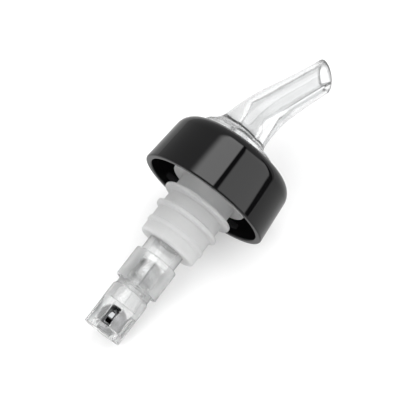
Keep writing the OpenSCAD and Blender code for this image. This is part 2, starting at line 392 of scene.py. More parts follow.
def new_material(name, constants):
    """Node material, its graph and its shader, with constants set on the shader."""
    material = bpy.data.materials.new(name)
    material.use_nodes = True
    graph = Graph(material.node_tree)
    shader = graph.find("BSDF_PRINCIPLED")
    for key, value in constants.items():
        shader.inputs[key].default_value = value
    return material, graph, shader


def scaled(colour, factor):
    """Colour made lighter or darker."""
    return tuple(min(c * factor, 1.0) for c in colour)


def vary(graph, shader, waves, marks, shades, gloss, bump, scratched=0.0):
    """Varies a surface by the two shared groups and gives its colour and roughness.

    The groups' inputs come in order as waves and marks. Shades are the colours that the mottle goes
    between, gloss is the roughness without and with smudges, and bump is its strength and distance.
    """
    moulded = graph.group(moulded_group(), waves)
    handled = graph.group(marks_group(), marks)
    colour = graph.tint(moulded["Mottle"], *shades)
    roughness = graph.between(handled["Smudge"], *gloss)
    if scratched:
        roughness = graph.math(
            "ADD", roughness, graph.math("MULTIPLY", handled["Scratch"], scratched)
        )
    normal = graph.node("ShaderNodeBump", {
        "Height": moulded["Height"], "Strength": bump[0], "Distance": bump[1],
    }).outputs["Normal"]
    graph.feed(colour, shader.inputs["Base Color"])
    graph.feed(roughness, shader.inputs["Roughness"])
    graph.feed(normal, shader.inputs["Normal"])
    return colour, roughness


def clear_plastic(finish):
    """Clear polished plastic with faint flow waves, duller where it is frosted."""
    material, graph, shader = new_material("spout_clear", {
        "Metallic": 0.0, "Transmission Weight": 1.0, "IOR": finish.clear_ior,
    })
    clear = finish.clear_colour
    frost = graph.attribute("frost")
    colour, roughness = vary(
        graph, shader, waves=(260.0, 2400.0, 0.04), marks=(180.0, 700.0),
        shades=(scaled(clear, 0.985), clear), gloss=(0.015, 0.07),
        bump=(graph.ramp(frost, 0.0, FROST_BORE, 0.35, 1.0), 0.12 * MM),
    )
    cut = graph.ramp(frost, FROST_TONE, FROST_LIP, 0.0, 1.0)
    lip = scaled(clear, finish.lip_tone)
    dull = graph.math("MULTIPLY", frost, finish.frost)
    graph.feed(graph.tint(cut, colour, lip), shader.inputs["Base Color"])
    graph.feed(graph.math("ADD", roughness, dull), shader.inputs["Roughness"])
    return material


def black_plastic(finish):
    """Glossy black plastic with a faint moulding wave, smudges and fine scratches."""
    material, graph, shader = new_material("collar_black", {"IOR": 1.43})
    black, gloss = finish.collar_colour, finish.collar_roughness
    vary(
        graph, shader, waves=(150.0, 1800.0, 0.02), marks=(90.0, 600.0),
        shades=(black, scaled(black, 1.35)), gloss=(gloss, gloss + 0.05),
        bump=(0.12, 0.1 * MM), scratched=0.05,
    )
    return material


def soft_white(finish):
    """Soft white moulded plastic that lets much light through and blurs it."""
    material, graph, shader = new_material("stopper_white", {
        "Metallic": 0.0, "Transmission Weight": finish.stopper_clearness, "IOR": 1.4,
        "Subsurface Weight": 1.0, "Subsurface Radius": (1.0, 1.0, 1.0),
        "Subsurface Scale": finish.stopper_depth,
    })
    white = finish.stopper_colour
    vary(
        graph, shader, waves=(240.0, 2200.0, 0.12), marks=(160.0, 800.0),
        shades=(scaled(white, 0.95), white), gloss=(0.3, 0.4), bump=(0.3, 0.15 * MM),
    )
    return material


def milky_plastic(finish, piece):
    """Milky plastic of the tube, sleeve or cage, which blurs what lies behind it."""
    material, graph, shader = new_material(piece + "_milky", {
        "Metallic": 0.0, "Transmission Weight": getattr(finish, piece + "_clearness"),
        "IOR": 1.4, "Coat Weight": 1.0, "Coat Roughness": 0.09, "Coat IOR": 1.45,
    })
    milk, blur = finish.milky_colour, getattr(finish, piece + "_blur")
    roughness = vary(
        graph, shader, waves=(320.0, 2600.0, 0.05), marks=(200.0, 900.0),
        shades=(scaled(milk, 0.97), milk), gloss=(blur, blur + 0.08), bump=(0.15, 0.12 * MM),
    )[1]
    edge = graph.node("ShaderNodeLayerWeight", {"Blend": 0.5}).outputs["Facing"]
    haze = graph.ramp(edge, 0.15, 0.75, 0.0, finish.edge_haze)
    graph.feed(graph.math("ADD", roughness, haze), shader.inputs["Roughness"])
    return material


def ball_steel(finish):
    """Polished steel with fine scratches."""
    material, graph, shader = new_material("ball_polished", {"Metallic": 1.0})
    steel = finish.ball_colour
    vary(
        graph, shader, waves=(500.0, 4000.0, 0.1), marks=(300.0, 1600.0),
        shades=(scaled(steel, 0.9), steel), gloss=(0.05, 0.14), bump=(0.05, 0.05 * MM),
        scratched=0.08,
    )
    return material


# Settings


def length(name, description, millimetres):
    """Property for a length, with its default in millimetres."""
    return bpy.props.FloatProperty(
        name=name, description=description, default=millimetres * MM, min=0.0, unit="LENGTH",
        precision=5,
    )


def number(name, description, default, low, high, unit="NONE"):
    """Property for a number between two limits."""
    return bpy.props.FloatProperty(
        name=name, description=description, default=default, min=low, max=high, unit=unit
    )


def fraction(name, description, default):
    """Property for a number from 0 to 1."""
    return bpy.props.FloatProperty(
        name=name, description=description, default=default, min=0.0, max=1.0, subtype="FACTOR"
    )


def count(name, description, default, low, high):
    """Property for a number of like parts."""
    return bpy.props.IntProperty(
        name=name, description=description, default=default, min=low, max=high
    )


def tone(name, description, default):
    """Property for a colour."""
    return bpy.props.FloatVectorProperty(
        name=name, description=description, default=default, size=3, min=0.0, max=1.0,
        subtype="COLOR",
    )


def angle(name, description, degrees):
    """Property for an angle, with its default in degrees."""
    return bpy.props.FloatProperty(
        name=name, description=description, default=math.radians(degrees), subtype="ANGLE"
    )


class PourerSizes(bpy.types.PropertyGroup):
    """Sizes of the pourer's pieces."""

    collar_wall: length("Collar wall", "Thickness of the collar", 1.8)
    collar_gap: length("Collar gap", "Room between the collar's hole and the stem", 0.1)
    collar_draft: angle("Collar draft", "Angle by which the skirt narrows upwards", 4.5)
    shoulder_r: length("Shoulder", "Radius of the collar's shoulder", 4.5)
    flange_t: length("Flange", "Thickness of the stopper's flange", 1.6)
    neck_r: length("Neck", "Radius of the stopper above its flange", 7.5)
    plug_r: length("Plug", "Radius of the stopper between its fins", 8.35)
    fin_r: bpy.props.FloatVectorProperty(
        name="Fins", description="Radii of the stopper's fins, from the top", size=3,
        default=(10.4 * MM, 9.5 * MM, 8.7 * MM), unit="LENGTH", precision=5,
    )
    fin_depth: length("Fin depth", "Depth of the upper fin below the flange", 4.7)
    fin_pitch: length("Fin pitch", "Distance from fin to fin", 4.95)
    fin_root: length("Fin root", "Half the thickness of a fin at its root", 0.8)
    fin_tip: length("Fin tip", "Half the thickness of a fin at its tip", 0.5)
    press_gap: length("Press gap", "Clearance of pieces that are pressed together", 0.03)
    ball_play: length("Ball play", "Room between the upper ball and its bore", 0.18)
    cage_play: length("Cage play", "Room between the lower ball and the cage", 0.38)
    tube_wall: length("Tube wall", "Wall of the pour tube", 1.1)
    tail_step: length("Tail step", "Step down to the thinner tail of the tube", 0.25)
    tongue_wall: length("Tongue wall", "Wall of the tube inside the cage's socket", 0.57)
    grip_len: length("Sleeve grip", "Length of the sleeve's grip on the tube", 1.8)
    inlet_gap: length("Inlet gap", "Width of the ring-shaped inlet under the sleeve", 0.55)
    port_count: count("Port count", "Number of inlet ports behind the sleeve", 4, 2, 8)
    port_r: length("Ports", "Radius of the inlet ports", 1.1)
    port_gap: length("Port gap", "Distance from the sleeve's grip to the ports", 0.3)
    port_turn: angle("Port turn", "Direction of the first port", 45)
    groove_w: length("Vent groove", "Width of the vent groove along the stem", 1.4)
    groove_depth: length("Groove depth", "Depth of the vent groove", 0.55)
    groove_show: length("Groove end", "Length of groove below the stopper", 2.2)
    slot_count: count("Slots", "Number of slots in the cage", 5, 3, 6)
    slot_w: length("Slot width", "Width of a slot in the cage", 2.7)
    slot_len: length("Slot length", "Length of a slot from the cage's end", 7.3)
    slot_turn: angle("Slot turn", "Direction of the first slot", 30)
    cage_slope: length("Cage slope", "Height of the slope at the cage's upper end", 0.7)
    cage_edge: length("Cage edge", "Bevel of the cage's edges", 0.14)
    ring_t: length("End ring", "Thickness of the ring that keeps the ball in", 1.8)
    ring_r: length("End ring hole", "Radius of the hole in that ring", 3.3)
    foot_r: length("Foot", "Radius of the spout's foot", 11.6)
    foot_t: length("Foot thickness", "Thickness of the spout's foot", 1.5)
    foot_shift: length("Foot shift", "Distance of the foot's centre behind the axis", 1.3)
    horn_setback: length("Horn setback", "Distance of the horn behind the axis", 2.6)
    root_r: length("Horn root", "Radius of the horn at its foot", 7.6)
    tip_r: length("Horn tip", "Radius of the horn at its lip", 4.5)
    taper: number("Horn taper", "How quickly the horn thins out", 1.8, 1.0, 3.0)
    flare_r: length("Flare", "Radius of the flare above the foot", 4.8)
    bend_r: length("Bend", "Radius of the horn's bend", 48)
    lean: angle("Lean", "Lean of the horn's end", 21)
    tip_len: length("Tip length", "Straight length up to the middle of the lip", 15.3)
    lip_slant: angle("Lip slant", "Slant of the lip past a square cut", 20)
    lip_edge: length("Lip edge", "Rounding of the lip's edges", 0.35)
    passage_r: length("Passage", "Radius of the passage behind the lip", 3.4)
    passage_shift: length("Passage shift", "Distance of the passage to the front", 0.2)
    passage_len: length("Passage length", "Length of the passage", 22)
    septum_at: length("Septum", "Distance from the passage's middle to the septum", 1.4)
    septum_t: length("Septum wall", "Thickness of the septum", 0.5)
    liquid_r: length("Liquid bore", "Radius of the liquid bore in the stem", 2.4)
    liquid_shift: length("Liquid shift", "Distance of that bore behind the axis", 2.1)
    seat_r: length("Seat", "Radius of the outlet that the ball closes", 2.5)
    funnel_len: length("Funnel", "Height over which the outlet turns into the liquid bore", 2.5)
    vent_r: length("Vent bore", "Radius of the vent bore in the stem", 0.55)
    vent_shift: length("Vent shift", "Distance from the axis to the vent bore", 1.95)
    vent_end: length("Vent end", "Height of the vent bore's end above the tube", 3)


class PourerFinish(bpy.types.PropertyGroup):
    """Colours and finishes."""

    clear_colour: tone("Clear plastic", "Tone of the clear spout", (0.76, 0.765, 0.767))
    clear_ior: number("Clear index", "Index of refraction of the spout", 1.46, 1.0, 2.0)
    frost: fraction("Lip frost", "Roughness of the spout's cut lip", 0.45)
    lip_tone: fraction("Lip tone", "Tone of the cut lip against the clear plastic", 0.3)
    collar_colour: tone("Collar", "Colour of the collar", (0.003, 0.003, 0.0032))
    collar_roughness: fraction("Collar roughness", "Roughness of the collar", 0.035)
    stopper_colour: tone("Stopper", "Colour of the stopper", (0.87, 0.875, 0.875))
    stopper_clearness: fraction("Stopper clearness", "How much light passes the stopper", 0.35)
    stopper_depth: length("Stopper depth", "Depth to which light spreads in the stopper", 20)
    milky_colour: tone("Milky plastic", "Tone of the tube, sleeve and cage", (0.985, 0.988, 0.988))
    tube_clearness: fraction("Tube clearness", "How much light passes the tube's surface", 0.975)
    tube_blur: fraction("Tube blur", "How much the tube blurs what lies behind it", 0.15)
    sleeve_clearness: fraction("Sleeve clearness", "How much light passes the sleeve's surface", 0.95)
    sleeve_blur: fraction("Sleeve blur", "How much the sleeve blurs what lies behind it", 0.22)
    cage_clearness: fraction("Cage clearness", "How much light passes the cage's surface", 0.92)
    cage_blur: fraction("Cage blur", "How much the cage blurs what lies behind it", 0.13)
    edge_haze: fraction("Edge haze", "Extra roughness of milky plastic seen edge-on", 0.5)
    ball_colour: tone("Balls", "Colour of the steel balls", (0.19, 0.194, 0.198))


class PourerStage(bpy.types.PropertyGroup):
    """Camera, floor and lights."""

    lens: number("Lens", "Focal length of the camera", 99.4, 20.0, 300.0, "CAMERA")
    distance: length("Distance", "Distance from the camera to the middle of the rim", 294)
    azimuth: angle("Azimuth", "Direction of the camera round the part", -15)
    elevation: angle("Elevation", "Height of the camera over the rim's plane", -12.6)
    roll: angle("Roll", "Lean of the part to the right in the picture", 37.5)
    floor_normal: bpy.props.FloatVectorProperty(
        name="Floor normal", description="Upward direction of the floor that the part lies on",
        default=(-0.582, -0.760, 0.292), size=3, subtype="DIRECTION",
    )
    floor_depth: length("Floor depth", "Distance from the origin down to the floor", 18.95)
    floor_colour: tone("Floor", "Colour of the floor", (0.75, 0.75, 0.75))
    floor_glow: fraction("Floor glow", "Own brightness of the floor, which lightens its shadow", 0.23)
    floor_mirrored: fraction("Mirrored floor", "Share of the floor's brightness in reflections", 0.55)
    floor_through: fraction("Floor behind", "More brightness of the floor seen through plastic", 0.2)
    key: number("Left softbox", "Brightness of the left softbox", 4.1, 0.0, 20.0)
    fill: number("Right softbox", "Brightness of the right softbox", 2.1, 0.0, 20.0)
    softness: fraction("Softbox light", "Share of the softboxes' brightness that lights the part", 0.4)
    below: number("Fill from below", "Brightness of the fill light on the tail's side", 3.2, 0.0, 20.0)
    ambient: number("Ambient", "Light from all round", 0.7, 0.0, 2.0)
    reflected: number("Reflected room", "Brightness of the room in reflections", 0.45, 0.0, 2.0)
    refracted: number("Refracted room", "Brightness of the room seen through plastic", 0.75, 0.0, 2.0)


# Pieces


def tube_radius(sizes):
    """Outer radius of the pour tube."""
    return node_radius("cutoff_ball") + sizes.ball_play + sizes.tube_wall


def finish_piece(obj, material, node, body):
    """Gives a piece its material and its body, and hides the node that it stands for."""
    obj.data.materials.clear()
    obj.data.materials.append(material)
    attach(obj, body)
    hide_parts(node)


class PieceOperator:
    """What the operators of the pieces share."""

    bl_options = {"REGISTER", "UNDO"}

    def execute(self, context):
        self.build(context.scene.pourer_sizes, context.scene.pourer_finish)
        return {"FINISHED"}


class POURER_OT_collar(PieceOperator, bpy.types.Operator):
    """Builds the black skirted collar"""

    bl_idname = "pourer.collar"
    bl_label = "Collar"

    def build(self, sizes, finish):
        low, high = BOX["collar"]
        rim, top, wall = low.z, high.z, sizes.collar_wall
        outer = node_radius("collar")
        hole = tube_radius(sizes) + sizes.collar_gap
        shoulder = outer - (top - rim) * math.tan(sizes.collar_draft)
        inner_rim, outer_rim, hole_edge = 0.4 * MM, 0.45 * MM, 0.15 * MM
        profile = rounded([
            (outer - wall / math.cos(sizes.collar_draft), rim, inner_rim),
            (outer, rim, outer_rim),
            (shoulder, top, sizes.shoulder_r),
            (hole, top, hole_edge),
            (hole, top - wall, hole_edge),
            (shoulder - wall, top - wall, sizes.shoulder_r - wall),
        ], SHOULDER_STEPS)
        obj = lathe("collar_shell", profile, COLLAR_SIDES, SHARP_ROUNDED)
        finish_piece(obj, black_plastic(finish), "collar", "body")


class POURER_OT_stopper(PieceOperator, bpy.types.Operator):
    """Builds the finned stopper"""

    bl_idname = "pourer.stopper"
    bl_label = "Stopper"

    def build(self, sizes, finish):
        low, high = BOX["stopper"]
        hole = tube_radius(sizes) + sizes.press_gap
        flange, plug = node_radius("stopper"), sizes.plug_r
        top_edge, neck_edge, flange_edge = 0.1 * MM, 0.3 * MM, 0.5 * MM
        plug_edge, root_edge, fin_edge = 0.4 * MM, 0.35 * MM, 0.42 * MM
        end_edge, hole_edge = 0.7 * MM, 0.15 * MM
        corners = [
            (hole, high.z, top_edge),
            (sizes.neck_r, high.z, neck_edge),
            (sizes.neck_r, sizes.flange_t, flange_edge),
            (flange, sizes.flange_t, flange_edge),
            (flange, 0.0, flange_edge),
            (plug, 0.0, plug_edge),
        ]
        for i, fin in enumerate(sizes.fin_r):
            z = -sizes.fin_depth - i * sizes.fin_pitch
            corners += [
                (plug, z + sizes.fin_root, root_edge),
                (fin, z + sizes.fin_tip, fin_edge),
                (fin, z - sizes.fin_tip, fin_edge),
                (plug, z - sizes.fin_root, root_edge),
            ]
        corners += [(plug, low.z, end_edge), (hole, low.z, hole_edge)]
        obj = lathe("stopper_body", rounded(corners), STOPPER_SIDES, SHARP_ROUNDED)
        finish_piece(obj, soft_white(finish), "stopper", "body")


def copies_round_axis(graph, source, copy, tip=0.0):
    """Copies of a shape round the Z axis, each first tipped over by an angle."""
    points = graph.node("GeometryNodePoints", {"Count": source["Count"]}).outputs[0]
    index = graph.node("GeometryNodeInputIndex").outputs[0]
    step = graph.math("DIVIDE", FULL_TURN, source["Count"])
    turn = graph.math("ADD", graph.math("MULTIPLY", index, step), source["Turn"])
    copies = graph.node("GeometryNodeInstanceOnPoints", {
        "Points": points, "Instance": copy, "Rotation": graph.vector(Y=tip, Z=turn),
    }).outputs[0]
    return graph.node("GeometryNodeRealizeInstances", {"Geometry": copies}).outputs[0]


def set_material(graph, source, sink, geometry):
    """Ends a tree: gives the geometry its material and puts it out."""
    done = graph.node("GeometryNodeSetMaterial", {
        "Geometry": geometry, "Material": source["Material"],
    }).outputs[0]
    graph.feed(done, sink["Geometry"])


def ports_group():
    """Geometry nodes that drill a ring of round ports through a turned tube."""
    graph, source, sink = make_group("Ring of Ports", "GeometryNodeTree", {
        "Geometry": "Geometry", "Count": "Int", "Radius": "Float", "Reach": "Float",
        "Height": "Float", "Turn": "Float", "Material": "Material",
    }, {"Geometry": "Geometry"})
    drill = graph.node("GeometryNodeMeshCylinder", {
        "Vertices": PORT_SIDES, "Radius": source["Radius"], "Depth": source["Reach"],
    }).outputs["Mesh"]
    out = graph.vector(Z=graph.math("MULTIPLY", source["Reach"], 0.5))
    drill = graph.node("GeometryNodeTransform", {"Geometry": drill, "Translation": out}).outputs[0]
    drills = copies_round_axis(graph, source, drill, math.pi / 2)
    lift = graph.vector(Z=source["Height"])
    drills = graph.node("GeometryNodeTransform", {"Geometry": drills, "Translation": lift}).outputs[0]
    cut = graph.node("GeometryNodeMeshBoolean", {
        "Mesh 1": source["Geometry"], "Mesh 2": drills,
    }, operation="DIFFERENCE", solver="EXACT").outputs["Mesh"]
    real = graph.node("GeometryNodeRealizeInstances", {"Geometry": cut}).outputs[0]
    set_material(graph, source, sink, real)
    return graph.tree


def sectors_group():
    """Geometry nodes that repeat one sector round the Z axis and join the seams."""
    graph, source, sink = make_group("Ring of Sectors", "GeometryNodeTree", {
        "Geometry": "Geometry", "Count": "Int", "Turn": "Float", "Seam": "Float",
        "Material": "Material",
    }, {"Geometry": "Geometry"})
    sectors = copies_round_axis(graph, source, source["Geometry"])
    joined = graph.node("GeometryNodeMergeByDistance", {
        "Geometry": sectors, "Distance": source["Seam"],
    }).outputs[0]
    set_material(graph, source, sink, joined)
    return graph.tree


def add_nodes_modifier(obj, group, values):
    """Geometry nodes modifier whose inputs are set by name."""
    modifier = obj.modifiers.new(group.name, "NODES")
    modifier.node_group = group
    for item in group.interface.items_tree:
        if item.in_out == "INPUT" and item.name in values:
            modifier[item.identifier] = values[item.name]


def box_object(low, high):
    """Plain box between two corners."""
    verts = list(product(*zip(low, high)))
    faces = [(0, 1, 3, 2), (4, 6, 7, 5), (0, 4, 5, 1), (2, 3, 7, 6), (0, 2, 6, 4), (1, 5, 7, 3)]
    return closed_object("cutter", verts, faces)


class POURER_OT_tube(PieceOperator, bpy.types.Operator):
    """Builds the pour tube with its ports and vent groove, and gives the disc inside it the tube's
    material
    """

    bl_idname = "pourer.tube"
    bl_label = "Pour tube"

    def build(self, sizes, finish):
        material = milky_plastic(finish, "tube")
        obj = self.turned_tube(sizes)
        self.drill_ports(obj, sizes, material)
        self.cut_groove(obj, sizes)
        finish_piece(obj, material, "pour_tube", "body")
        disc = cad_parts["metering_disc"]
        disc.data.materials.clear()
        disc.data.materials.append(material)

    def turned_tube(self, sizes):
        """Tube with its step under the sleeve and its tongue for the cage."""
        low, high = BOX["pour_tube"]
        bore = node_radius("cutoff_ball") + sizes.ball_play
        tube = tube_radius(sizes)
        tail = tube - sizes.tail_step
        tongue = bore + sizes.tongue_wall
        grip = BOX["shield_sleeve"][1].z - sizes.grip_len
        socket = BOX["tail_cage"][1].z
        end_edge, step_edge, socket_edge = 0.1 * MM, 0.08 * MM, 0.06 * MM
        profile = rounded([
            (bore, high.z, 0), (tube, high.z, end_edge), (tube, grip, step_edge),
            (tail, grip, step_edge), (tail, socket, socket_edge), (tongue, socket, socket_edge),
            (tongue, low.z, end_edge), (bore, low.z, 0),
        ], TUBE_EDGE_STEPS)
        return lathe("pour_tube_wall", profile)

    def drill_ports(self, obj, sizes, material):
        """Ports below the sleeve's grip."""
        grip = BOX["shield_sleeve"][1].z - sizes.grip_len
        add_nodes_modifier(obj, ports_group(), {
            "Count": sizes.port_count, "Radius": sizes.port_r, "Reach": 2 * tube_radius(sizes),
            "Turn": sizes.port_turn, "Height": grip - sizes.port_gap - sizes.port_r,
            "Material": material,
        })
        bake_modifiers(obj)

    def cut_groove(self, obj, sizes):
        """Vent groove from the tube's upper end to just below the stopper."""
        past = 1 * MM
        tube = tube_radius(sizes)
        cutter = box_object(
            (tube - sizes.groove_depth, -sizes.groove_w / 2, BOX["stopper"][0].z - sizes.groove_show),
            (tube + past, sizes.groove_w / 2, BOX["pour_tube"][1].z + past),
        )
        cut = obj.modifiers.new("groove", "BOOLEAN")
        cut.operation = "DIFFERENCE"
        cut.solver = "EXACT"
        cut.object = cutter
        bake_modifiers(obj)
        bpy.data.objects.remove(cutter)


class POURER_OT_sleeve(PieceOperator, bpy.types.Operator):
    """Builds the shield sleeve round the tube"""

    bl_idname = "pourer.sleeve"
    bl_label = "Shield sleeve"

    def build(self, sizes, finish):
        low, high = BOX["shield_sleeve"]
        outer = node_radius("shield_sleeve")
        hold = tube_radius(sizes) + sizes.press_gap
        inner = tube_radius(sizes) - sizes.tail_step + sizes.inlet_gap
        grip = high.z - sizes.grip_len
        outer_edge, inlet_edge, grip_corner = 0.45 * MM, 0.15 * MM, 0.2 * MM
        hold_edge, grip_edge = 0.06 * MM, 0.08 * MM
        profile = rounded([
            (hold, high.z, hold_edge), (outer, high.z, outer_edge), (outer, low.z, outer_edge),
            (inner, low.z, inlet_edge), (inner, grip, grip_corner), (hold, grip, grip_edge),
        ])
        obj = lathe("shield_sleeve_wall", profile, SIDES, SHARP_ROUNDED)
        material = milky_plastic(finish, "sleeve")
        finish_piece(obj, material, "shield_sleeve", "body")


def cage_sector(sizes):
    """Points and faces of one sector of the cage: a slot with half a finger on each side."""
    low, high = BOX["tail_cage"]
    ball = node_radius("check_ball")
    outer = node_radius("tail_cage")
    socket = ball + sizes.ball_play + sizes.tongue_wall + sizes.press_gap
    tail = tube_radius(sizes) - sizes.tail_step
    radii = (sizes.ring_r, ball + sizes.cage_play, socket)
    layers = len(radii)
    half = math.pi / sizes.slot_count
    # Each row's upper end, outer radius, first solid layer and first layer that the slot cuts
    rows = [
        (high.z, tail, 2, layers),
        (high.z - sizes.cage_slope, outer, 2, layers),
        (BOX["pour_tube"][0].z, outer, 1, layers),
        (low.z + sizes.slot_len, outer, 1, 1),
        (low.z + sizes.ring_t, outer, 0, 2),
        (low.z, outer, layers, layers),
    ]

    def solid(column, row, layer):
        if not 0 <= row < len(rows):
            return False
        first, cut = rows[row][2:]
        in_slot = FINGER_SIDES <= column < 2 * FINGER_SIDES
        return first <= layer < (cut if in_slot else layers)

    def point(column, row, layer):
        z, skin = rows[row][:2]
        r = skin if layer == layers else radii[layer]
        edge = math.asin(min(sizes.slot_w / 2 / r, 1))
        step, part = divmod(column, FINGER_SIDES)
        ends = (-half, -edge, edge, half, half)
        t = ends[step] + (ends[step + 1] - ends[step]) * part / FINGER_SIDES
        return (*polar(r, t), z)

    verts, faces, known = [], [], {}

    def corner(*key):
        if key not in known:
            known[key] = len(verts)
            verts.append(point(*key))
        return known[key]

    # A cell's faces: the step to the cell beside it, and the steps to the face's corners
    cell_faces = (
        ((0, 0, 1), ((0, 0, 1), (1, 0, 1), (1, 1, 1), (0, 1, 1))),
        ((0, 0, -1), ((0, 0, 0), (0, 1, 0), (1, 1, 0), (1, 0, 0))),
        ((0, -1, 0), ((0, 0, 0), (1, 0, 0), (1, 0, 1), (0, 0, 1))),
        ((0, 1, 0), ((0, 1, 0), (0, 1, 1), (1, 1, 1), (1, 1, 0))),
        ((-1, 0, 0), ((0, 0, 0), (0, 0, 1), (0, 1, 1), (0, 1, 0))),
        ((1, 0, 0), ((1, 0, 0), (1, 1, 0), (1, 1, 1), (1, 0, 1))),
    )
    columns = 3 * FINGER_SIDES
    for c, r, k in product(range(columns), range(len(rows)), range(layers)):
        if not solid(c, r, k):
            continue
        for (dc, dr, dk), corners in cell_faces:
            if 0 <= c + dc < columns and not solid(c + dc, r + dr, k + dk):
                faces.append([corner(c + i, r + j, k + m) for i, j, m in corners])
    return verts, faces


class POURER_OT_cage(PieceOperator, bpy.types.Operator):
    """Builds the slotted cage at the tail"""

    bl_idname = "pourer.cage"
    bl_label = "Tail cage"

    def build(self, sizes, finish):
        material = milky_plastic(finish, "cage")
        verts, faces = cage_sector(sizes)
        obj = closed_object("tail_cage_fingers", verts, faces)
        add_nodes_modifier(obj, sectors_group(), {
            "Count": sizes.slot_count, "Turn": sizes.slot_turn, "Seam": SEAM, "Material": material,
        })
        bevel = obj.modifiers.new("edges", "BEVEL")
        bevel.width = sizes.cage_edge
        bevel.segments = 2
        bevel.limit_method = "ANGLE"
        bevel.angle_limit = math.radians(BEVEL_ANGLE)
        bake_modifiers(obj, SHARP_ROUNDED)
        finish_piece(obj, material, "tail_cage", "body")


class POURER_OT_balls(PieceOperator, bpy.types.Operator):
    """Builds the cut-off ball and the check ball"""

    bl_idname = "pourer.balls"
    bl_label = "Balls"

    def build(self, sizes, finish):
        material = ball_steel(finish)
        for node in ("cutoff_ball", "check_ball"):
            low, high = BOX[node]
            bm = bmesh.new()
            bmesh.ops.create_uvsphere(
                bm, u_segments=BALL_SIDES, v_segments=BALL_SIDES // 2, radius=node_radius(node)
            )
            bmesh.ops.translate(bm, verts=bm.verts, vec=(low + high) / 2)
            mesh = bpy.data.meshes.new(node + "_steel")
            bm.to_mesh(mesh)
            bm.free()
            mesh.shade_smooth()
            obj = link_object(node + "_steel", mesh)
            finish_piece(obj, material, node, node)


